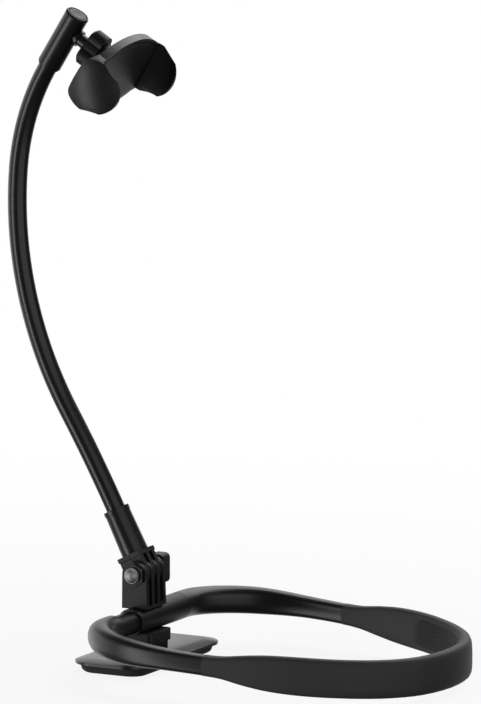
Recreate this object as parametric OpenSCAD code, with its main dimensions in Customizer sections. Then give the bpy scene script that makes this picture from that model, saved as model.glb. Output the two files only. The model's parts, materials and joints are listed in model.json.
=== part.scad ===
// Neck phone holder: ring worn round the neck, chest pad, bendable arm and spring phone clamp.
// Frame: millimetres, +Z up, X across the wearer, -Y in front, +Y behind the neck.

/* [Hub and chest pad] */
// Height of the hub tube axis above the floor
hub_z = 23.5; // [21:0.5:30]
// Outer diameter of the hub tube
hub_d = 14.6; // [12:0.1:18]
// Length of the hub tube between its two seams
hub_len = 72.6; // [60:0.2:90]
// Place along X where the thick sleeve of the hub ends
sleeve_end = 17; // [12:0.5:24]
// Diameter of the slim end of the hub
neck_d = 12; // [11.4:0.1:13]
// Length of each arm spigot inside the hub
spigot_len = 20; // [10:1:26]
// Diameter of the arm spigots
spigot_d = 9; // [7:0.5:11]
// Chest pad width across the wearer
pad_w = 94; // [80:1:120]
// Chest pad depth
pad_d = 45; // [40:1:60]
// Corner radius of the chest pad
pad_r = 13; // [10:1:24]
// Offset of the chest pad along Y
pad_y = 0.8; // [-3:0.1:3]
// Thickness of the soft pad
pad_soft = 4.8; // [3:0.2:8]
// Rim thickness of the chest plate
plate_rim = 1.4; // [1:0.1:4]

/* [Hinge] */
// Height of the hinge pivot above the hub axis
pivot_up = 24.3; // [18:0.1:30]
// Offset of the hinge pivot along Y
pivot_y = -1; // [-6:0.5:6]
// Thickness of each hinge fin
fin_t = 3; // [2:0.1:4]
// Gap between two fins of the hinge block
fin_gap = 3.2; // [2.2:0.1:4.4]
// Width of the fins along Y
fin_w = 14; // [10:0.5:18]
// Forward lean of the arm at the hinge, in degrees
lean = 27.2; // [0:0.1:60]
// Bolt diameter
bolt_d = 5; // [4:0.5:6]

/* [Gooseneck arm] */
// Length of the lower ferrule
ferrule_len = 24; // [16:0.5:40]
// Distance from the pivot to the lower end of the ferrule
ferrule_from = 12; // [10:0.5:18]
// Outer diameter of the gooseneck sleeve
goose_d = 10.1; // [8:0.1:14]
// Length of the first arc, bending forward
arc1_len = 56.9; // [20:1:100]
// Angle of the first arc, in degrees
arc1_ang = 4.1; // [0:0.1:20]
// Length of the second arc, bending back
arc2_len = 133; // [60:1:200]
// Angle of the second arc, in degrees
arc2_ang = 36.1; // [10:0.1:60]
// Length of the third arc
arc3_len = 59.3; // [20:0.5:120]
// Angle of the third arc, in degrees
arc3_ang = 26.6; // [10:0.1:60]
// Length of the upper ferrule
top_len = 33.2; // [20:0.2:50]
// Outer diameter of the upper ferrule
top_d = 12.9; // [10:0.1:18]

/* [Phone clamp] */
// Distance from the ferrule axis to the inner plate of the clamp
plate_c = 38.5; // [30:0.5:50]
// Offset of the clamp from the ball stud, toward the moving jaw
clamp_x = 5.8; // [-10:0.5:10]
// Half the width of the slot between the jaws at rest
slot_half = 31.7; // [20:0.5:40]
// Half height of the clamp at the jaws
jaw_h = 13.7; // [8:0.5:20]
// Half height of the clamp in the middle
mid_h = 22.6; // [10:0.5:26]
// Travel of the moving jaw
jaw_travel = 28; // [10:1:60]

/* [Neck ring] */
// Height of the neck band
band_h = 20.3; // [12:0.1:30]
// Thickness of the neck band
band_t = 7.6; // [5:0.1:12]
// Drop of the neck band below the hub axis at the back
band_low = 10.9; // [0:0.1:12]
// Height of the arm where the neck band starts
arm_h = 10.8; // [8:0.1:14]
// Depth of the grooves inside the neck band
groove_deep = 0.7; // [0:0.1:1.5]

/* [Hidden] */
$fn = 48;
eps = 0.01;
black = [0.07, 0.07, 0.075];
soft = [0.13, 0.13, 0.135];
steel = [0.72, 0.73, 0.74];

fin_p = fin_t + fin_gap;
fin_x = 1.5 * fin_p;
pivot_z = hub_z + pivot_up;

// Lean a is measured from +Z toward -Y; points are [y, z].
function along(a) = [-sin(a), cos(a)];
function side(a) = [cos(a), sin(a)];
p0 = [pivot_y, pivot_z] + (ferrule_from + ferrule_len) * along(lean);
r1 = -arc1_len / arc1_ang * 180 / PI;
r2 = arc2_len / arc2_ang * 180 / PI;
r3 = arc3_len / arc3_ang * 180 / PI;
a1 = lean + arc1_ang;
a2 = a1 - arc2_ang;
a3 = a2 - arc3_ang;
c1 = p0 + r1 * side(lean);
p1 = c1 - r1 * side(a1);
c2 = p1 + r2 * side(a1);
p2 = c2 - r2 * side(a2);
c3 = p2 + r3 * side(a2);
p3 = c3 - r3 * side(a3);
// Head point: where the ball stud crosses the upper ferrule.
head_at = top_len - 10.9;
head = p3 + head_at * along(a3);

module in_arm() {
  translate([0, pivot_y, pivot_z]) rotate([lean, 0, 0]) children();
}

module in_top() {
  translate([0, p3[0], p3[1]]) rotate([a3, 0, 0]) children();
}

module in_head() {
  translate([0, head[0], head[1]]) rotate([a3, 0, 0]) children();
}

module in_hub() {
  translate([0, 0, hub_z]) children();
}

// Cylinder along X, centred.
module xcyl(d, len, n = 64) {
  rotate([0, 90, 0]) cylinder(d = d, h = len, center = true, $fn = n);
}

// Centreline of the gooseneck: three tangent arcs with a straight end in each ferrule, as [point, lean].
function arc_row(c, r, from, ang, n, first) = [for (i = [first:n]) let (a = from - ang * i / n) [c - r * side(a), a]];
function goose_rows(low, high) = concat(
  [[p0 - low * along(lean), lean]],
  arc_row(c1, r1, lean, -arc1_ang, 6, 0), arc_row(c2, r2, a1, arc2_ang, 22, 1), arc_row(c3, r3, a2, arc3_ang, 14, 1),
  [[p3 + high * along(a3), a3]]);

module goose_line(d, low, high, n) {
  skin([for (g = goose_rows(low, high)) [for (j = [0:n - 1]) let (t = -j * 360 / n)
    [d / 2 * cos(t), g[0][0] + d / 2 * sin(t) * side(g[1])[0], g[0][1] + d / 2 * sin(t) * side(g[1])[1]]]]);
}

module round_rect(w, d, r) {
  hull() for (sx = [-1, 1], sy = [-1, 1])
    translate([sx * (w / 2 - r), sy * (d / 2 - r)]) circle(r = r, $fn = 64);
}

// Rectangle with round corners, with true arcs
module soft_square(w, d, r) {
  square([w - 2 * r, d], center = true);
  square([w, d - 2 * r], center = true);
  for (sx = [-1, 1], sy = [-1, 1]) translate([sx * (w / 2 - r), sy * (d / 2 - r)]) circle(r = r, $fn = 48);
}

post_w = 23;
post_d = 20;
plate_top = pad_soft + plate_rim + 1.4;

module at_screws() {
  for (x = [-6.5, 6.5]) translate([x, 0]) children();
}

// Hub: tube, hinge block, post and chest pad
module hub_tube() {
  color(black) in_hub() difference() {
    union() {
      xcyl(neck_d, hub_len);
      translate([(sleeve_end - hub_len / 2) / 2, 0, 0]) xcyl(hub_d, sleeve_end + hub_len / 2);
    }
    for (s = [-1, 1]) translate([s * (hub_len / 2 - spigot_len / 2 + 0.2), 0, 0])
      xcyl(spigot_d + 0.1, spigot_len + 0.6);
    xcyl(4, hub_len);
  }
}

module fin_blank(x, t) {
  translate([x - t / 2, pivot_y, pivot_up]) rotate([90, 0, 90]) linear_extrude(t) union() {
    circle(d = fin_w, $fn = 72);
    polygon([[-fin_w / 2, 0], [fin_w / 2, 0], [fin_w / 2 + 0.6, -pivot_up + hub_d / 2 - block_drop],
      [-fin_w / 2 - 0.2, -pivot_up + hub_d / 2 - block_drop]]);
  }
}

// How far the block reaches down past the top of the hub sleeve
block_drop = 1.1;

module hinge_block() {
  color(black) in_hub() difference() {
    union() {
      for (i = [-1.5, -0.5, 0.5, 1.5]) fin_blank(i * fin_p, fin_t);
      translate([fin_x + fin_t / 2 - eps, pivot_y, pivot_up]) rotate([0, 90, 0])
        cylinder(d = 13, h = 1.6, $fn = 6);
      translate([-fin_x - fin_t / 2, pivot_y - fin_w / 2 - 0.2, hub_d / 2 - block_drop])
        cube([2 * fin_x + fin_t, fin_w + 0.8, block_drop + 0.7]);
    }
    xcyl(hub_d + 0.1, 60);
    translate([0, pivot_y, pivot_up]) xcyl(bolt_d + 0.1, 60);
    translate([fin_x + 0.2, pivot_y, pivot_up]) rotate([0, 90, 0]) cylinder(d = 9.4, h = 8, $fn = 6);
  }
}

module pad_post() {
  color(black) in_hub() difference() {
    union() {
      translate([0, 0, -hub_d / 2 - 5]) linear_extrude(6) soft_square(post_w, post_d, 3);
      translate([0, 0, plate_top - hub_z + 0.05]) linear_extrude(hub_z - plate_top - hub_d / 2 - 4)
        soft_square(post_w - 1.6, post_d - 2.4, 3);
    }
    xcyl(hub_d + 0.1, 60);
    translate([0, 0, -hub_z]) at_screws() cylinder(d = 2.6, h = pad_soft + 8.3, $fn = 24);
  }
}

module chest_plate() {
  color(black) difference() {
    translate([0, pad_y, pad_soft]) hull() {
      linear_extrude(plate_rim) round_rect(pad_w, pad_d, pad_r);
      linear_extrude(plate_top - pad_soft) round_rect(pad_w - 14, pad_d - 14, pad_r - 7);
    }
    at_screws() {
      cylinder(d = 3.2, h = 20, $fn = 24);
      translate([0, 0, pad_soft - 1]) cylinder(d = 5.8, h = 2.4, $fn = 32);
    }
  }
}

module chest_pad() {
  color(soft) difference() {
    translate([0, pad_y, 0]) hull() {
      translate([0, 0, 1.6]) linear_extrude(pad_soft - 1.65) round_rect(pad_w - 6, pad_d - 6, pad_r - 3);
      linear_extrude(0.1) round_rect(pad_w - 10, pad_d - 10, pad_r - 5);
    }
    at_screws() translate([0, 0, 3]) cylinder(d = 6.2, h = 6, $fn = 32);
  }
}

module plate_screws() {
  color(steel) at_screws() difference() {
    union() {
      translate([0, 0, pad_soft - 0.7]) cylinder(d = 5.6, h = 2, $fn = 32);
      translate([0, 0, pad_soft]) cylinder(d = 2.6, h = 8, $fn = 24);
    }
    translate([0, 0, pad_soft - 1]) cylinder(d = 2.4, h = 1.4, $fn = 6);
  }
}

// Hinge hardware
module hinge_nut() {
  color(steel) translate([fin_x + 0.25, pivot_y, pivot_z]) rotate([0, 90, 0]) difference() {
    union() {
      cylinder(d = 9.2, h = 3.3, $fn = 6);
      translate([0, 0, 3.3 - eps]) cylinder(d = 8, h = 1.2, $fn = 48);
      translate([0, 0, 3.2]) intersection() {
        sphere(d = 8, $fn = 48);
        cylinder(d = 8, h = 4.6, $fn = 48);
      }
    }
    translate([0, 0, -1]) cylinder(d = bolt_d, h = 6.4, $fn = 40);
  }
}

module hinge_bolt() {
  color(steel) translate([0, pivot_y, pivot_z]) union() {
    translate([-fin_x - fin_t / 2 - 6, 0, 0]) rotate([0, 90, 0])
      cylinder(d = bolt_d, h = 2 * fin_x + fin_t + 6 + 2.2, $fn = 40);
    translate([-fin_x - fin_t / 2 - 6, 0, 0]) rotate([0, 90, 0]) cylinder(d = 8.4, h = 3, $fn = 6);
  }
}

module thumb_knob() {
  color(black) translate([-fin_x - fin_t / 2, pivot_y, pivot_z]) difference() {
    union() {
      translate([-1.6, 0, 0]) xcyl(12, 2.6);
      translate([-9.8, -4.6, -8.6]) rotate([90, 0, 90]) linear_extrude(7.6) hull() {
        for (y = [2.6, 6.6], z = [2.6, 13.2]) translate([y, z]) circle(r = 2.6, $fn = 40);
      }
    }
    translate([-3, 0, 0]) xcyl(bolt_d, 40);
    translate([-6, 0, 0]) rotate([0, 90, 0]) cylinder(d = 8.4, h = 3, $fn = 6);
    for (s = [-1, 1], z = [-6, -3, 0, 3, 6]) translate([-6, s * 4.9, z]) cube([9, 0.7, 0.9], center = true);
  }
}

// Arm: fork, ferrules and gooseneck
module fork() {
  color(black) in_arm() difference() {
    union() {
      for (i = [-1, 0, 1]) translate([i * fin_p, 0, 0]) rotate([90, 0, 90])
        translate([0, 0, -fin_t / 2]) linear_extrude(fin_t) union() {
          circle(d = fin_w - 0.4, $fn = 72);
          translate([-fin_w / 2 + 0.2, 0]) square([fin_w - 0.4, ferrule_from - 2.4]);
        }
      translate([-fin_p - fin_t / 2 - 0.9, -fin_w / 2 + 0.1, ferrule_from - 3.4])
        cube([2 * fin_p + fin_t + 1.8, fin_w - 0.2, 2.4]);
      translate([0, 0, ferrule_from - 1.2]) cylinder(d = 11, h = 4, $fn = 64);
    }
    xcyl(bolt_d + 0.1, 60);
  }
}

module lower_ferrule() {
  color(black) in_arm() difference() {
    union() {
      translate([0, 0, ferrule_from - 1]) cylinder(d1 = 14.5, d2 = 13.6, h = ferrule_len - 1.4, $fn = 64);
      translate([0, 0, ferrule_from + ferrule_len - 2.41]) cylinder(d = 14.1, h = 2.4, $fn = 64);
    }
    translate([0, 0, ferrule_from - 2]) cylinder(d = 11, h = 4.85, $fn = 64);
    translate([0, 0, ferrule_from + 6]) cylinder(d = goose_d, h = 40, $fn = 40);
  }
}

module goose_sleeve() {
  color(black) difference() {
    goose_line(goose_d, ferrule_len - 6, 9, 28);
    goose_line(6, ferrule_len - 5.8, 9.2, 14);
  }
}

module goose_core() {
  color(steel) goose_line(5.9, ferrule_len - 6.2, 8.8, 14);
}

module top_ferrule() {
  color(black) in_top() difference() {
    union() {
      translate([0, 0, -0.6]) cylinder(d = 11.6, h = 2.4, $fn = 64);
      translate([0, 0, 0.6]) cylinder(d = top_d, h = top_len - 2.4, $fn = 72);
    }
    translate([0, 0, -2]) cylinder(d = goose_d, h = 11.1, $fn = 40);
    translate([0, 0, top_len - 4.3]) cylinder(d = 9.2, h = 4, $fn = 48);
    translate([0, 0, head_at]) rotate([-90, 0, 0]) cylinder(d = 7, h = 12, $fn = 48);
  }
}

module top_cap() {
  color(black) in_top() difference() {
    union() {
      translate([0, 0, top_len - 1.75]) cylinder(d = top_d, h = 0.9, $fn = 72);
      translate([0, 0, top_len - 0.86]) cylinder(d1 = top_d, d2 = top_d - 1, h = 0.8, $fn = 72);
      translate([0, 0, top_len - 4.2]) cylinder(d = 9.1, h = 2.6, $fn = 48);
    }
    // Ring groove inside the rim, and a shallow dish in the middle
    translate([0, 0, top_len - 0.6]) difference() {
      cylinder(d = top_d - 2.1, h = 1, $fn = 72);
      translate([0, 0, -1]) cylinder(d = top_d - 3.3, h = 3, $fn = 72);
    }
    translate([0, 0, top_len - 0.46 + 16]) sphere(r = 16, $fn = 120);
  }
}

ball_c = 19.6;
ball_d = 12;
nut_r = 11.2;
nut_core = ball_d / 2 + 1.95;

module ball_stud() {
  color(black) in_head() union() {
    translate([0, 0.15, 0]) rotate([-90, 0, 0]) cylinder(d = 6.9, h = ball_c, $fn = 48);
    translate([0, top_d / 2 + 0.12, 0]) rotate([-90, 0, 0]) cylinder(d = 9, h = 1.4, $fn = 48);
    translate([0, ball_c, 0]) sphere(d = ball_d, $fn = 64);
  }
}

// Head: collar nut and phone clamp, in the head frame (X across, Y toward the phone, Z along the ferrule)
module lobes(r, n = 3) {
  offset(r = 3.4, $fn = 48) offset(r = -3.4, $fn = 48) union() {
    circle(r = nut_core, $fn = 64);
    for (i = [0:n - 1]) rotate(82 + i * 360 / n) translate([r * 0.52, 0]) circle(r = r * 0.48, $fn = 48);
  }
}

module collar_nut() {
  color(black) in_head() difference() {
    rotate([90, 0, 0]) union() {
      translate([0, 0, -22.6]) linear_extrude(7.6) lobes(nut_r);
      translate([0, 0, -15.01]) linear_extrude(1.6, scale = 0.84) lobes(nut_r);
    }
    // Flared mouth: room for the stud to tilt, narrower than the ball
    rotate([-90, 0, 0]) translate([0, 0, 13]) cylinder(r1 = 6, r2 = 4.5, h = 3.3, $fn = 48);
    rotate([-90, 0, 0]) translate([0, 0, 16.2]) cylinder(r = 4.5, h = 4, $fn = 48);
    translate([0, ball_c, 0]) sphere(d = ball_d + 0.1, $fn = 64);
    rotate([-90, 0, 0]) translate([0, 0, ball_c - 0.5]) cylinder(d = 14.1, h = 10, $fn = 64);
  }
}

module oval(wx, h_end, h_mid) {
  // Barrel outline: flat ends at +-wx, bulged long sides.
  rr = ((h_mid - h_end) * (h_mid - h_end) + wx * wx) / 2 / (h_mid - h_end);
  intersection() {
    translate([-wx, -h_mid]) square([2 * wx, 2 * h_mid]);
    translate([0, h_mid - rr]) circle(r = rr, $fn = 220);
    translate([0, rr - h_mid]) circle(r = rr, $fn = 220);
  }
}

shell_c0 = 27.4;
jaw_split = clamp_x + slot_half - 3.4;
tongue_x0 = clamp_x - slot_half + 6;

// Hollow face of a jaw: an arc in the X-C plane, bent in toward the tip.
hollow_r = 20;
hollow_x = slot_half + 1.4 - hollow_r;
hollow_c = plate_c + 6;
paddle_c = plate_c + 2.5;
paddle_r = 15.5;
paddle_h = jaw_h + 0.7;
paddle_back = plate_c - 8.5;
liner_c = plate_c + 3.5;
jaw_wall = 4.4;
dome_r = 34;

// Domed outside of a jaw on the +X side
module jaw_dome() {
  intersection() {
    translate([slot_half - 5, 0, 0]) rotate([90, 0, 90]) linear_extrude(jaw_wall + 6)
      offset(r = 5, $fn = 64) offset(delta = -5) intersection() {
        translate([paddle_c, 0]) scale([paddle_r / paddle_h, 1]) circle(r = paddle_h, $fn = 72);
        translate([paddle_back, -40]) square(80);
      }
    translate([slot_half + jaw_wall - dome_r, plate_c + 0.5, 0]) sphere(r = dome_r, $fn = 110);
  }
}

// Slot for the phone, cut from the jaws as an endless prism
module slot_cut() {
  linear_extrude(6 * jaw_h, center = true) intersection() {
    union() {
      translate([hollow_x, hollow_c]) circle(r = hollow_r, $fn = 160);
      translate([hollow_x - 80, plate_c]) square([80, 60]);
    }
    translate([-100, plate_c]) square([200, 100]);
  }
}

// Jaw with the end of the shell blended into its dome; from is where the end starts along X.
module jaw_form(from) {
  difference() {
    hull() {
      intersection() {
        clamp_shell();
        translate([from, 0, -40]) cube([60, 80, 80]);
      }
      in_clamp() jaw_dome();
    }
    in_clamp() slot_cut();
    translate([from - 60, 0, -40]) cube([60, 80, 80]);
  }
}

module in_clamp() {
  translate([clamp_x, 0, 0]) children();
}

module clamp_shell() {
  hull() {
    in_clamp() rotate([-90, 0, 0]) translate([0, 0, plate_c - 4.6]) linear_extrude(4.6) oval(slot_half + 0.8, jaw_h - 0.8, mid_h);
    rotate([-90, 0, 0]) translate([0, 0, shell_c0]) cylinder(r = 10, h = 1, $fn = 64);
  }
}

// Tongue of the moving jaw; grow is the clearance of the channel it slides in.
module tongue(x0, x1, grow = 0) {
  translate([x0, plate_c - 5.6 - grow, -8 - grow]) cube([x1 - x0, 3.6 + 2 * grow, 16 + 2 * grow]);
}

module at_rods() {
  for (z = [-5.6, 5.6]) translate([0, plate_c - 3.8, z]) children();
}

// The fixed jaw, drawn on the +X side
module far_end() {
  difference() {
    hull() {
      translate([2 * clamp_x, 0, 0]) mirror([1, 0, 0]) intersection() {
        clamp_shell();
        translate([clamp_x - slot_half + 3.4 - 60, 0, -40]) cube([60, 80, 80]);
      }
      in_clamp() jaw_dome();
    }
    in_clamp() slot_cut();
  }
}

module clamp_body() {
  color(black) in_head() union() {
    difference() {
      union() {
        intersection() {
          clamp_shell();
          translate([-80 + jaw_split, 0, -40]) cube([80, 80, 80]);
        }
        rotate([-90, 0, 0]) translate([0, 0, ball_c + 0.4]) cylinder(d = 14, h = 8, $fn = 64);
        translate([2 * clamp_x, 0, 0]) mirror([1, 0, 0]) far_end();
      }
      translate([0, ball_c, 0]) sphere(d = ball_d + 0.1, $fn = 64);
      translate([tongue_x0 - 2, plate_c - 5.7, -8.1]) cube([80, 3.96, 16.2]);
      in_clamp() rotate([-90, 0, 0]) translate([0, 0, plate_c - 1.75]) linear_extrude(4) cover_outline(0);
      at_rods() translate([tongue_x0 - 3.5, 0, 0]) xcyl(2.4, 6, 32);
      in_clamp() mirror([1, 0, 0]) liner(0.05);
    }
    // Peg that the spring pushes against
    translate([jaw_split - 4.7, plate_c - 6.2, -2]) cube([2, 4.3, 4]);
  }
}

module cover_outline(inset) {
  oval(slot_half - 4.4 - inset, jaw_h - 0.2 - inset, mid_h - 3.2 - inset);
}

module clamp_cover() {
  color(black) in_head() in_clamp() rotate([-90, 0, 0]) translate([0, 0, plate_c - 1.72])
    linear_extrude(1.1) cover_outline(0.05);
}

module back_pad() {
  color(soft) in_head() in_clamp() rotate([-90, 0, 0]) translate([0, 0, plate_c - 0.6])
    linear_extrude(0.9) cover_outline(0.3);
}

// Soft liner let into the hollow face of a jaw (on the +X side).
module liner(grow = 0) {
  intersection() {
    translate([hollow_x, hollow_c, 0]) difference() {
      cylinder(r = hollow_r + 0.7 + grow, h = 60, center = true, $fn = 200);
      if (grow == 0) cylinder(r = hollow_r - 0.3, h = 61, center = true, $fn = 200);
    }
    translate([0, liner_c, 0]) rotate([90, 0, 90]) linear_extrude(80) intersection() {
      circle(r = jaw_h - 2.4 + grow, $fn = 96);
      translate([-1.5 - grow, -30]) square([60, 60]);
    }
    translate([slot_half - 3, plate_c, -30]) cube([40, 60, 60]);
  }
}

module fixed_liner() {
  color(soft) in_head() in_clamp() mirror([1, 0, 0]) liner();
}

module moving_liner() {
  color(soft) in_head() in_clamp() liner();
}

module moving_jaw() {
  color(black) in_head() difference() {
    union() {
      jaw_form(jaw_split + 0.25);
      tongue(tongue_x0, jaw_split + 2);
    }
    at_rods() translate([tongue_x0 - 4, 0, 0]) rotate([0, 90, 0]) cylinder(d = 2.5, h = jaw_split - tongue_x0 + 4, $fn = 32);
    translate([tongue_x0 + 3, plate_c - 8, -2.6]) cube([jaw_split - tongue_x0 - 5, 8, 5.2]);
    in_clamp() liner(0.05);
  }
}

module guide_rods() {
  color(steel) in_head() at_rods() translate([tongue_x0 - 6.4, 0, 0]) rotate([0, 90, 0])
    cylinder(d = 2.35, h = jaw_split - tongue_x0 + 5.6, $fn = 32);
}

// Return spring of the moving jaw, a row of coils on the slide axis.
coils = 20;
module clamp_spring() {
  pitch = (jaw_split - tongue_x0 - 8.75) / (coils - 1);
  color(steel) in_head() translate([tongue_x0 + 3.5, plate_c - 3.8, 0]) {
    for (i = [0:coils - 1]) translate([i * pitch, 0, 0]) rotate([0, 90, 0])
      rotate_extrude($fn = 32) translate([1.25, 0]) circle(d = 0.9, $fn = 12);
    for (i = [0:coils - 2]) translate([i * pitch, i % 2 == 0 ? 1.25 : -1.25, 0]) rotate([0, 90, 0])
      cylinder(d = 0.8, h = pitch, $fn = 12);
  }
}

// Neck ring: swept from a half plan of [x, y, height, thickness]
back_y = 178.6;
arm_plan = [[36.4, 0, hub_d, hub_d], [43.5, 0.1, hub_d, hub_d - 0.1], [51, 1.4, 14.7, 14.2],
  [60, 6.2, 14.7, 13.5], [67.6, 13, 14.6, 12.7], [73.4, 21, 14.4, 11.9], [77.2, 30, 13.9, 11.1],
  [79.2, 40, 12.8, 10.4], [79.9, 51, 11.6, 9.8], [79.6, 63, 10.9, 9.3], [78.6, 77, arm_h, 8.8]];
band_plan = [[77.5, 87, arm_h + 1, 8.2], [76.2, 98, band_h - 4.8, band_t], [74.1, 109, band_h - 1.9, band_t],
  [71.3, 120, band_h - 0.5, band_t], [67.3, 131.5, band_h, band_t], [61.6, 143, band_h, band_t],
  [53.4, 155, band_h, band_t], [41.5, 166.5, band_h, band_t], [24, 175.4, band_h, band_t], [0, back_y, band_h, band_t]];
na = len(arm_plan);
nb = len(band_plan);
half_plan = concat(arm_plan, band_plan);
full_plan = concat(half_plan, [for (i = [na + nb - 2:-1:0]) [-half_plan[i][0], half_plan[i][1], half_plan[i][2], half_plan[i][3]]]);
last = len(full_plan) - 1;
drop = band_low / back_y;

function cr(a, b, c, d, t) = 0.5 * (2 * b + (c - a) * t + (2 * a - 5 * b + 4 * c - d) * t * t + (3 * b - a - 3 * c + d) * t * t * t);
function cr_d(a, b, c, d, t) = 0.5 * ((c - a) + 2 * (2 * a - 5 * b + 4 * c - d) * t + 3 * (3 * b - a - 3 * c + d) * t * t);
function ctl(i) = i < 0 ? 2 * full_plan[0] - full_plan[1] : i > last ? 2 * full_plan[last] - full_plan[last - 1] : full_plan[i];
function at(t) = let (i = min(floor(t), last - 1), f = t - i) cr(ctl(i - 1), ctl(i), ctl(i + 1), ctl(i + 2), f);
function at_d(t) = let (i = min(floor(t), last - 1), f = t - i) cr_d(ctl(i - 1), ctl(i), ctl(i + 1), ctl(i + 2), f);

function spow(v, p) = sign(v) * pow(abs(v), p);
// Section corner exponent: round at the hub, flatter on the band.
function section_round(n, e) = [for (i = [0:n - 1]) let (a = i * 360 / n) [spow(cos(a), e) / 2, spow(sin(a), e) / 2, 0]];
function band_section(e) = concat(
  [for (i = [0:11]) let (a = -90 + 180 * i / 11) [spow(cos(a), e) / 2, spow(sin(a), e) / 2, 0]],
  [for (a = [106, 124]) [spow(cos(a), e) / 2, spow(sin(a), e) / 2, 0]],
  [for (j = [0:16]) let (b = 0.4 - 0.05 * j) [-pow(1 - pow(abs(2 * b), 2 / e), e / 2) / 2, b, j % 2]],
  [for (a = [236, 254]) [spow(cos(a), e) / 2, spow(sin(a), e) / 2, 0]]);

function groove_at(t) = let (x = abs(at(t)[0]), y = at(t)[1]) y < 108 ? 0 : max(0, min(1, (74 - x) / 6));
function ring_point(t, q, grow) = let (s = at(t), d = at_d(t), l = norm([d[0], d[1]]), n = [d[1] / l, -d[0] / l],
  a = q[0] * (s[3] + grow) + q[2] * groove_deep * groove_at(t))
  [s[0] + a * n[0], s[1] + a * n[1], hub_z - drop * s[1] + q[1] * (s[2] + grow)];
function core_point(t, q, h, w) = let (s = at(t), d = at_d(t), l = norm([d[0], d[1]]), n = [d[1] / l, -d[0] / l])
  [s[0] + q[0] * w * n[0], s[1] + q[0] * w * n[1], hub_z - drop * s[1] + q[1] * h];

module skin(rows) {
  m = len(rows);
  k = len(rows[0]);
  polyhedron(
    points = [for (r = rows) each r],
    faces = concat(
      [for (i = [0:m - 2], j = [0:k - 1]) each [
        [i * k + j, i * k + (j + 1) % k, (i + 1) * k + j],
        [i * k + (j + 1) % k, (i + 1) * k + (j + 1) % k, (i + 1) * k + j]]],
      [[for (j = [k - 1:-1:0]) j]],
      [[for (j = [0:k - 1]) (m - 1) * k + j]]),
    convexity = 8);
}

module core_line(t0, t1, h, w, steps) {
  skin([for (i = [0:steps]) let (t = t0 + (t1 - t0) * i / steps) [for (q = section_round(12, 0.6)) core_point(t, q, h, w)]]);
}

core_from = na - 2;

module arm_near() {
  color(black) difference() {
    union() {
      skin([for (i = [0:30]) let (t = i * (na - 1) / 30, e = 1 - 0.35 * t / (na - 1)) [for (q = section_round(28, e)) ring_point(t, q, 0)]]);
      translate([36.4 - spigot_len / 2 + 1, 0, hub_z]) xcyl(spigot_d, spigot_len);
    }
    core_line(core_from - 0.02, na - 1 + 0.3, 6.2, 2.5, 6);
  }
}

module arm_far() {
  mirror([1, 0, 0]) arm_near();
}

module neck_band() {
  color(soft) difference() {
    skin([for (i = [0:60]) let (t = na - 1 + 0.004 + i * (last - 2 * (na - 1) - 0.008) / 60, e = 0.56)
      [for (q = band_section(e)) ring_point(t, q, 0)]]);
    core_line(na - 1.3, last - na + 1.3, 6.2, 2.5, 56);
  }
}

module band_core() {
  color(steel) core_line(core_from, last - core_from, 6.1, 2.4, 60);
}

hub_tube();
hinge_block();
pad_post();
chest_plate();
chest_pad();
plate_screws();
hinge_nut();
hinge_bolt();
thumb_knob();
fork();
lower_ferrule();
goose_sleeve();
goose_core();
top_ferrule();
top_cap();
ball_stud();
collar_nut();
clamp_body();
clamp_cover();
back_pad();
fixed_liner();
moving_jaw();
moving_liner();
guide_rods();
clamp_spring();
arm_near();
arm_far();
neck_band();
band_core();
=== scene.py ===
# Neck phone holder: satin ring arms, silicone neck band, chest pad, bendable arm and spring clamp.
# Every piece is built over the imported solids, in metres, where the solids lie.
import json
import math
import bpy
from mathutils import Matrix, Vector

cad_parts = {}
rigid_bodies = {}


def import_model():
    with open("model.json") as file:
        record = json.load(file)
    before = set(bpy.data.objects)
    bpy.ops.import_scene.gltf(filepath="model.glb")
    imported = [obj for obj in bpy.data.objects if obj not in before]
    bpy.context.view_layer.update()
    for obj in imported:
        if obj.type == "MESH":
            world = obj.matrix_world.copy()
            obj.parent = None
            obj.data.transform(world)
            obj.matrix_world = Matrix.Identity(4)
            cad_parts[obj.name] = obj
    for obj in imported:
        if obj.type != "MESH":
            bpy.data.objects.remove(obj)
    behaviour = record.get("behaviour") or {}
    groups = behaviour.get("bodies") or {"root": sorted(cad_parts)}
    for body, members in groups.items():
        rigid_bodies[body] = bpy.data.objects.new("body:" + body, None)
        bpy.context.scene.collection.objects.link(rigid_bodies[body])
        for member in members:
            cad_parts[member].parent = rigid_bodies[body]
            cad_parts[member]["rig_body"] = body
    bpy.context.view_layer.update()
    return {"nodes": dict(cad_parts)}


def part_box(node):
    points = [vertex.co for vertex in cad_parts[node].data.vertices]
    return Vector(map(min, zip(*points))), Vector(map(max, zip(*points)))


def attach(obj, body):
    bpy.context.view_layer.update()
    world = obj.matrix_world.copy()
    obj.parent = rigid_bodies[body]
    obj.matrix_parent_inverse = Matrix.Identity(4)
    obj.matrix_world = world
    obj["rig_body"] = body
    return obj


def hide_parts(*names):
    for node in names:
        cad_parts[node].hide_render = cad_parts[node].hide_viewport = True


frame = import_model()


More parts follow.
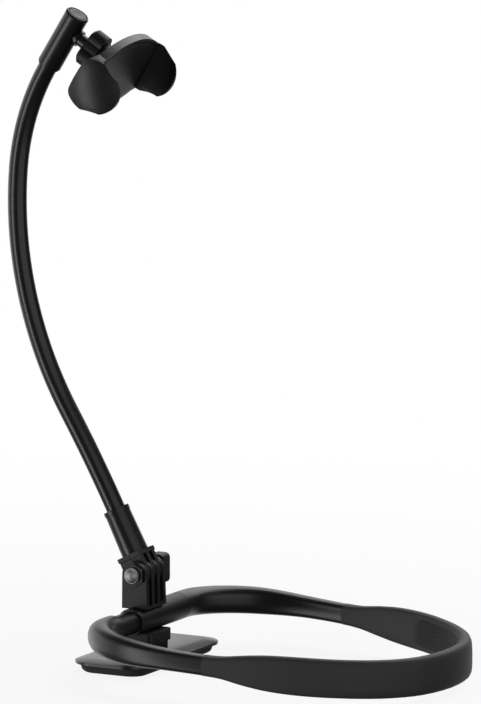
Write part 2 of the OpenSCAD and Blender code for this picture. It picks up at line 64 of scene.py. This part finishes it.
# Camera
# A very long lens far away, which keeps near and far edges at one scale, turned 118 degrees
# round the holder and raised 10 degrees.
CAMERA_AZIMUTH = math.radians(118)
CAMERA_ELEVATION = math.radians(10.4)
CAMERA_DISTANCE = 12.0
VIEW_HEIGHT = 0.3672
VIEW_CENTRE = Vector((0, 0.0564, 0.1697))
toward_camera = Vector((
    math.sin(CAMERA_AZIMUTH) * math.cos(CAMERA_ELEVATION),
    -math.cos(CAMERA_AZIMUTH) * math.cos(CAMERA_ELEVATION),
    math.sin(CAMERA_ELEVATION)))
screen_right = Vector((0, 0, 1)).cross(toward_camera).normalized()
camera_data = bpy.data.cameras.new("product_camera")
camera = bpy.data.objects.new("product_camera", camera_data)
bpy.context.scene.collection.objects.link(camera)
bpy.context.scene.camera = camera
camera_data.lens = camera_data.sensor_width * CAMERA_DISTANCE / VIEW_HEIGHT
camera_data.clip_start, camera_data.clip_end = 0.05, 50
camera.location = VIEW_CENTRE + toward_camera * CAMERA_DISTANCE
camera.rotation_mode = "QUATERNION"
camera.rotation_quaternion = (-toward_camera).to_track_quat("-Z", "Y")
bpy.context.scene.view_settings.view_transform = "Standard"


# Studio
# A white screen behind the holder and soft panels in front of it: one overhead, a wide one at
# the right of the lens and a tall narrow one at the left, which draws the line down round stems.
def soft_panel(name, direction, distance, width, height, radiance):
    """A soft rectangular lamp that faces the holder, as bright at any size."""
    light = bpy.data.lights.new(name, "AREA")
    light.shape = "RECTANGLE"
    light.size, light.size_y = width, height
    light.energy = radiance * math.pi * width * height
    lamp = bpy.data.objects.new(name, light)
    bpy.context.scene.collection.objects.link(lamp)
    lamp.visible_camera = False
    lamp.location = VIEW_CENTRE + direction.normalized() * distance
    lamp.rotation_mode = "QUATERNION"
    lamp.rotation_quaternion = direction.normalized().to_track_quat("Z", "Y")


def round_camera(angle, rise):
    """A direction turned by angle degrees to the right of the lens and raised by rise degrees."""
    level = Vector((toward_camera.x, toward_camera.y, 0)).normalized()
    turned = level * math.cos(math.radians(angle)) + screen_right * math.sin(math.radians(angle))
    return turned * math.cos(math.radians(rise)) + Vector((0, 0, math.sin(math.radians(rise))))


soft_panel("overhead_panel", Vector((-0.9, 0.05, 1)), 1.6, 1.6, 1.2, 3.0)
soft_panel("right_panel", round_camera(36, 4), 2.3, 3.6, 2.6, 0.85)
soft_panel("left_strip", round_camera(-66, -10), 1.6, 0.50, 2.2, 4.0)
soft_panel("back_left_panel", round_camera(-122, 0), 2.4, 2.4, 2.0, 1.0)


def node_tree(owner):
    """The emptied nodes and the links of a material or a world."""
    owner.use_nodes = True
    owner.node_tree.nodes.clear()
    return owner.node_tree.nodes, owner.node_tree.links


# The screen shows in reflections only. Its edges are cosines of the angle from its middle.
SCREEN_MIDDLE = Vector((-toward_camera.x, -toward_camera.y, -0.18)).normalized()
SCREEN_EDGE, SCREEN_FULL = 0.62, 0.94
ROOM_STRENGTH, SCREEN_STRENGTH = 0.06, 1.25
world = bpy.data.worlds.new("white_studio")
bpy.context.scene.world = world
nodes, links = node_tree(world)
seen = nodes.new("ShaderNodeLightPath")
place = nodes.new("ShaderNodeTexCoord")
behind = nodes.new("ShaderNodeVectorMath")
behind.operation = "DOT_PRODUCT"
behind.inputs[1].default_value = SCREEN_MIDDLE
screen = nodes.new("ShaderNodeMapRange")
screen.interpolation_type = "SMOOTHSTEP"
screen.inputs["From Min"].default_value = SCREEN_EDGE
screen.inputs["From Max"].default_value = SCREEN_FULL
screen.inputs["To Min"].default_value = ROOM_STRENGTH
screen.inputs["To Max"].default_value = SCREEN_STRENGTH
room = nodes.new("ShaderNodeBackground")
room.inputs["Color"].default_value = (1, 1, 1, 1)
white = nodes.new("ShaderNodeBackground")
white.inputs["Color"].default_value = (1, 1, 1, 1)
white.inputs["Strength"].default_value = 1
mix = nodes.new("ShaderNodeMixShader")
out = nodes.new("ShaderNodeOutputWorld")
links.new(place.outputs["Generated"], behind.inputs[0])
links.new(behind.outputs["Value"], screen.inputs["Value"])
links.new(screen.outputs["Result"], room.inputs["Strength"])
links.new(seen.outputs["Is Camera Ray"], mix.inputs[0])
links.new(room.outputs[0], mix.inputs[1])
links.new(white.outputs[0], mix.inputs[2])
links.new(mix.outputs[0], out.inputs["Surface"])

# The floor keeps the shadow near the holder and fades into the white further out.
FLOOR_SIZE = 9
FLOOR_DROP = 0.0004
FADE_START, FADE_END = 0.15, 0.6
WHITE_SHARE = 0.88
bpy.ops.object.select_all(action="DESELECT")
bpy.ops.mesh.primitive_grid_add(
    x_subdivisions=2, y_subdivisions=2, size=FLOOR_SIZE, location=(0, 0, -FLOOR_DROP))
floor = bpy.context.object
floor.name = "studio_floor"
floor_paint = bpy.data.materials.new("white_sweep")
nodes, links = node_tree(floor_paint)
seen = nodes.new("ShaderNodeLightPath")
place = nodes.new("ShaderNodeTexCoord")
distance = nodes.new("ShaderNodeVectorMath")
distance.operation = "LENGTH"
fade = nodes.new("ShaderNodeMapRange")
fade.inputs["From Min"].default_value = FADE_START
fade.inputs["From Max"].default_value = FADE_END
fade.inputs["To Min"].default_value = WHITE_SHARE
matt = nodes.new("ShaderNodeBsdfDiffuse")
matt.inputs["Color"].default_value = (0.9, 0.9, 0.9, 1)
bright = nodes.new("ShaderNodeEmission")
bright.inputs["Strength"].default_value = 1
paper = nodes.new("ShaderNodeMixShader")
clear = nodes.new("ShaderNodeBsdfTransparent")
mix = nodes.new("ShaderNodeMixShader")
out = nodes.new("ShaderNodeOutputMaterial")
links.new(place.outputs["Object"], distance.inputs[0])
links.new(distance.outputs["Value"], fade.inputs["Value"])
links.new(fade.outputs["Result"], paper.inputs[0])
links.new(matt.outputs[0], paper.inputs[1])
links.new(bright.outputs[0], paper.inputs[2])
links.new(seen.outputs["Is Camera Ray"], mix.inputs[0])
links.new(clear.outputs[0], mix.inputs[1])
links.new(paper.outputs[0], mix.inputs[2])
links.new(mix.outputs[0], out.inputs["Surface"])
floor.data.materials.append(floor_paint)


# Ring arms
# Two hollow arms moulded in satin black plastic. They leave the hub round, turn back past
# the neck and end in a flat tongue that the silicone band is pushed over.
def moulded(name, colour, rough, grain, depth, mottle=0.06, spread=60, shine=0.5):
    """Plastic or rubber: fine grain in the relief, slow change of gloss and tone over the piece."""
    paint = bpy.data.materials.new(name)
    nodes, links = node_tree(paint)
    place = nodes.new("ShaderNodeTexCoord")
    fine = nodes.new("ShaderNodeTexNoise")
    fine.inputs["Scale"].default_value = grain
    fine.inputs["Detail"].default_value = 3
    slow = nodes.new("ShaderNodeTexNoise")
    slow.inputs["Scale"].default_value = spread
    slow.inputs["Detail"].default_value = 4
    tone = nodes.new("ShaderNodeMapRange")
    tone.inputs["To Min"].default_value = 1 - 4 * mottle
    tone.inputs["To Max"].default_value = 1 + 4 * mottle
    tint = nodes.new("ShaderNodeMix")
    tint.data_type = "RGBA"
    tint.blend_type = "MULTIPLY"
    tint.inputs["Factor"].default_value = 1
    tint.inputs[6].default_value = (*colour, 1)
    gloss = nodes.new("ShaderNodeMapRange")
    gloss.inputs["To Min"].default_value = rough * (1 - 2 * mottle)
    gloss.inputs["To Max"].default_value = rough * (1 + 2 * mottle)
    relief = nodes.new("ShaderNodeBump")
    relief.inputs["Strength"].default_value = depth
    relief.inputs["Distance"].default_value = 0.0002
    skin = nodes.new("ShaderNodeBsdfPrincipled")
    skin.inputs["Specular IOR Level"].default_value = shine
    out = nodes.new("ShaderNodeOutputMaterial")
    links.new(place.outputs["Object"], fine.inputs["Vector"])
    links.new(place.outputs["Object"], slow.inputs["Vector"])
    links.new(slow.outputs["Fac"], tone.inputs["Value"])
    links.new(slow.outputs["Fac"], gloss.inputs["Value"])
    links.new(tone.outputs["Result"], tint.inputs[7])
    links.new(tint.outputs[2], skin.inputs["Base Color"])
    links.new(gloss.outputs["Result"], skin.inputs["Roughness"])
    links.new(fine.outputs["Fac"], relief.inputs["Height"])
    links.new(relief.outputs["Normal"], skin.inputs["Normal"])
    links.new(skin.outputs[0], out.inputs["Surface"])
    return paint


def paint_all(piece, paint):
    """Gives the whole piece one material."""
    piece.data.materials.clear()
    piece.data.materials.append(paint)


def only(piece):
    """Selects the piece alone and makes it the active one."""
    bpy.ops.object.select_all(action="DESELECT")
    piece.select_set(True)
    bpy.context.view_layer.objects.active = piece


def apply_all(piece):
    """Applies the piece's modifiers in their order."""
    only(piece)
    for modifier in list(piece.modifiers):
        bpy.ops.object.modifier_apply(modifier=modifier.name)


MERGE_WITHIN = 0.000002


def merged_copy(node, name, flat=1.0, quads=False):
    """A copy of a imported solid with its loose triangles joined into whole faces."""
    piece = bpy.data.objects.new(name, frame["nodes"][node].data.copy())
    bpy.context.scene.collection.objects.link(piece)
    only(piece)
    bpy.ops.object.mode_set(mode="EDIT")
    bpy.ops.mesh.select_all(action="SELECT")
    bpy.ops.mesh.customdata_custom_splitnormals_clear()
    bpy.ops.mesh.remove_doubles(threshold=MERGE_WITHIN)
    if quads:
        bpy.ops.mesh.tris_convert_to_quads(
            face_threshold=math.radians(50), shape_threshold=math.radians(60))
    else:
        bpy.ops.mesh.dissolve_limited(angle_limit=math.radians(flat))
    bpy.ops.object.mode_set(mode="OBJECT")
    return piece


SHARP_FROM = math.radians(38)


def finish_piece(piece, node, paint, smooth=40, edge=0.0, steps=2):
    """Rounds the sharp edges, smooths the rest, paints the piece and seats it on its body."""
    if edge:
        bevel = piece.modifiers.new("edges", "BEVEL")
        bevel.width = edge
        bevel.segments = steps
        bevel.limit_method = "ANGLE"
        bevel.angle_limit = SHARP_FROM
        apply_all(piece)
    only(piece)
    bpy.ops.object.shade_smooth_by_angle(angle=math.radians(smooth))
    if edge:
        flats = piece.modifiers.new("flats", "WEIGHTED_NORMAL")
        flats.keep_sharp = True
        apply_all(piece)
    paint_all(piece, paint)
    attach(piece, frame["nodes"][node]["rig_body"])
    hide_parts(node)


arm_black = moulded("satin_black_plastic", (0.008, 0.008, 0.009), 0.36, 2400, 0.05, 0.05)
for node, name in (("arm_near", "ring_arm_near"), ("arm_far", "ring_arm_far")):
    arm = merged_copy(node, name, quads=True)
    finish_piece(arm, node, arm_black, smooth=45)


# Silicone band
# A soft matt sleeve over the spring steel core, taller than the arms, with sunken lines on
# the inside that keep it from slipping on the collar.
silicone = moulded(
    "grey_black_silicone", (0.030, 0.030, 0.032), 0.62, 5200, 0.16, 0.04, spread=25)
band = merged_copy("neck_band", "silicone_band", quads=True)
finish_piece(band, "neck_band", silicone, smooth=50)


# Spring steel core
# The flat strip inside the band is the spring of the ring, and its ends enter the arms. The arm's
# wires, the clamp's rods and spring and the plate's screws are steel too, and all keep their solids.
def polished(name, colour, rough, grain, depth):
    """Metal with fine drawn lines in the relief and in the gloss."""
    paint = bpy.data.materials.new(name)
    nodes, links = node_tree(paint)
    place = nodes.new("ShaderNodeTexCoord")
    lines = nodes.new("ShaderNodeTexNoise")
    lines.inputs["Scale"].default_value = grain
    lines.inputs["Detail"].default_value = 4
    gloss = nodes.new("ShaderNodeMapRange")
    gloss.inputs["To Min"].default_value = rough * 0.8
    gloss.inputs["To Max"].default_value = rough * 1.3
    relief = nodes.new("ShaderNodeBump")
    relief.inputs["Strength"].default_value = depth
    relief.inputs["Distance"].default_value = 0.0001
    skin = nodes.new("ShaderNodeBsdfPrincipled")
    skin.inputs["Base Color"].default_value = (*colour, 1)
    skin.inputs["Metallic"].default_value = 1
    out = nodes.new("ShaderNodeOutputMaterial")
    links.new(place.outputs["Object"], lines.inputs["Vector"])
    links.new(lines.outputs["Fac"], gloss.inputs["Value"])
    links.new(gloss.outputs["Result"], skin.inputs["Roughness"])
    links.new(lines.outputs["Fac"], relief.inputs["Height"])
    links.new(relief.outputs["Normal"], skin.inputs["Normal"])
    links.new(skin.outputs[0], out.inputs["Surface"])
    return paint


steel = polished("plated_steel", (0.40, 0.40, 0.41), 0.56, 900, 0.02)
for node in ("band_core", "goose_core", "guide_rods", "clamp_spring", "plate_screws"):
    paint_all(frame["nodes"][node], steel)


# Hub tube
# The round black tube across the chest that both arms plug into. It is moulded in one piece,
# a little duller than the arms, and its black is made darker than theirs as painted shade.
shade_darkened_black = moulded("shade_darkened_black_plastic", (0.006, 0.006, 0.007), 0.44, 2400, 0.05, 0.05, shine=0.35)
hub = merged_copy("hub_tube", "hub_cross_tube")
finish_piece(hub, "hub_tube", shade_darkened_black, edge=0.0003)


# Hinge
# Four fins on the hub and three on the arm interleave on one bolt, as on camera mounts. They are
# moulded in the same black plastic with a finer, less shiny surface.
fin_black = moulded("fin_black_plastic", (0.007, 0.007, 0.008), 0.48, 2600, 0.10, 0.06, shine=0.35)
block = merged_copy("hinge_block", "hub_hinge_fins")
finish_piece(block, "hinge_block", fin_black, edge=0.00025)
fork = merged_copy("fork", "arm_hinge_fins")
finish_piece(fork, "fork", fin_black, edge=0.00025)


# Hinge hardware
# A plated cap nut sits in the hexagonal pocket at one end of the bolt, its dome in plain steel and its
# hexagon in a darker copy of the steel as painted shade in the pocket, and a black moulded thumb knob
# is pressed on the bolt's head at the other.
DOME_HEIGHT = 0.0037
nut = merged_copy("hinge_nut", "cap_nut", flat=0.05)
finish_piece(nut, "hinge_nut", steel, smooth=35, edge=0.0002)
# Faces below the dome take a darker copy of the steel, which is painted shade in the hexagonal pocket.
DOME_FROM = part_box("hinge_nut")[1].x - DOME_HEIGHT
steel_painted_shade = polished("plated_steel_painted_shade", (0.06, 0.06, 0.063), 0.50, 900, 0.02)
nut.data.materials.append(steel_painted_shade)
for face in nut.data.polygons:
    face.material_index = 0 if face.center.x > DOME_FROM else 1
bolt = merged_copy("hinge_bolt", "hinge_bolt_shank")
finish_piece(bolt, "hinge_bolt", steel, smooth=35)
knob = merged_copy("thumb_knob", "hinge_thumb_knob")
finish_piece(knob, "thumb_knob", fin_black, edge=0.0003)


# Chest plate and post
# A thin crowned plate with rounded corners under the hub, carried by a square post. The plate
# is glossy, and the post is of the duller plastic of the fins.
post = merged_copy("pad_post", "chest_plate_post")
finish_piece(post, "pad_post", fin_black, edge=0.0006)
gloss_black = moulded("gloss_black_plastic", (0.008, 0.008, 0.009), 0.30, 2400, 0.05, 0.05)
plate = merged_copy("chest_plate", "chest_plate_shell")
finish_piece(plate, "chest_plate", gloss_black, smooth=30, edge=0.0003)


# Chest pad
# A cushion of closed foam under the plate, a little smaller than it all round, with rounded
# lower edges and a flat sole.
pad_low, pad_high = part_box("chest_pad")
foam = moulded("closed_foam", (0.020, 0.020, 0.021), 0.85, 3800, 0.35, 0.07, spread=90)
PAD_CORNER, PAD_SOLE_EDGE, PAD_TOP_EDGE = 0.010, 0.0034, 0.0006
UPRIGHT_FROM, LEVEL_WITHIN = 0.001, 0.0001
bpy.ops.object.select_all(action="DESELECT")
bpy.ops.mesh.primitive_cube_add(size=1, location=(pad_low + pad_high) / 2)
pad = bpy.context.object
pad.name = "foam_chest_pad"
pad.scale = pad_high - pad_low
bpy.ops.object.transform_apply(location=True, rotation=True, scale=True)


def round_edges(piece, wanted, width, segments):
    """Bevels the edges whose two ends pass the test."""
    only(piece)
    bpy.ops.object.mode_set(mode="EDIT")
    bpy.ops.mesh.select_mode(type="EDGE")
    bpy.ops.mesh.select_all(action="DESELECT")
    bpy.ops.object.mode_set(mode="OBJECT")
    corners = piece.data.vertices
    for edge in piece.data.edges:
        edge.select = wanted(corners[edge.vertices[0]].co, corners[edge.vertices[1]].co)
    bpy.ops.object.mode_set(mode="EDIT")
    bpy.ops.mesh.bevel(offset=width, segments=segments, affect="EDGES")
    bpy.ops.object.mode_set(mode="OBJECT")


round_edges(pad, lambda a, b: abs(a.z - b.z) > UPRIGHT_FROM, PAD_CORNER, 10)
round_edges(pad, lambda a, b: max(a.z, b.z) < pad_low.z + LEVEL_WITHIN, PAD_SOLE_EDGE, 5)
round_edges(pad, lambda a, b: min(a.z, b.z) > pad_high.z - LEVEL_WITHIN, PAD_TOP_EDGE, 2)
finish_piece(pad, "chest_pad", foam, smooth=40)


# Bendable arm
# A rubber sleeve over a bundle of wires that stays where it is bent, gripped at both ends
# by a moulded ferrule with a raised lip.
sleeve_black = moulded("sleeve_rubber", (0.007, 0.007, 0.008), 0.28, 3000, 0.08, 0.05)
sleeve = merged_copy("goose_sleeve", "bendable_sleeve", quads=True)
finish_piece(sleeve, "goose_sleeve", sleeve_black, smooth=60)
for node, name in (("lower_ferrule", "lower_sleeve_ferrule"), ("top_ferrule", "upper_sleeve_ferrule")):
    ferrule = merged_copy(node, name)
    finish_piece(ferrule, node, gloss_black, edge=0.0003)
# The cap takes the hub's black, which is darkened as painted shade.
cap = merged_copy("top_cap", "upper_ferrule_cap")
finish_piece(cap, "top_cap", shade_darkened_black, edge=0.0005, steps=3)


# Ball joint
# A short stud with a ball, held in the clamp's socket by a three lobed clamping nut. The stud
# plugs into the side of the upper ferrule and turns in it.
stud = merged_copy("ball_stud", "ball_joint_stud")
finish_piece(stud, "ball_stud", gloss_black, edge=0.0003)
collar = merged_copy("collar_nut", "lobed_clamping_nut")
finish_piece(collar, "collar_nut", fin_black, smooth=35, edge=0.0004)


# Phone clamp
# A moulded back with one fixed and one sliding jaw. The back carries a flat cover and a thin
# rubber pad, and both jaws have a rubber facing let into their hollow side.
clamp_black = moulded(
    "clamp_black_plastic", (0.009, 0.0095, 0.010), 0.38, 2600, 0.10, 0.05, shine=0.45)
body = merged_copy("clamp_body", "clamp_back_and_fixed_jaw")
finish_piece(body, "clamp_body", clamp_black, smooth=37)
cover = merged_copy("clamp_cover", "clamp_cover_plate")
finish_piece(cover, "clamp_cover", clamp_black, edge=0.0002)
rubber = moulded("clamp_back_rubber", (0.014, 0.014, 0.015), 0.50, 4200, 0.2, 0.05)
rear = merged_copy("back_pad", "clamp_back_rubber")
finish_piece(rear, "back_pad", rubber, edge=0.0002)
jaw = merged_copy("moving_jaw", "sliding_jaw")
finish_piece(jaw, "moving_jaw", clamp_black, smooth=37)
facing = moulded("jaw_rubber_facing", (0.007, 0.007, 0.008), 0.50, 4200, 0.2, 0.05, shine=0.3)
for node, name in (("fixed_liner", "fixed_jaw_facing"), ("moving_liner", "sliding_jaw_facing")):
    liner = merged_copy(node, name)
    finish_piece(liner, node, facing, smooth=30)
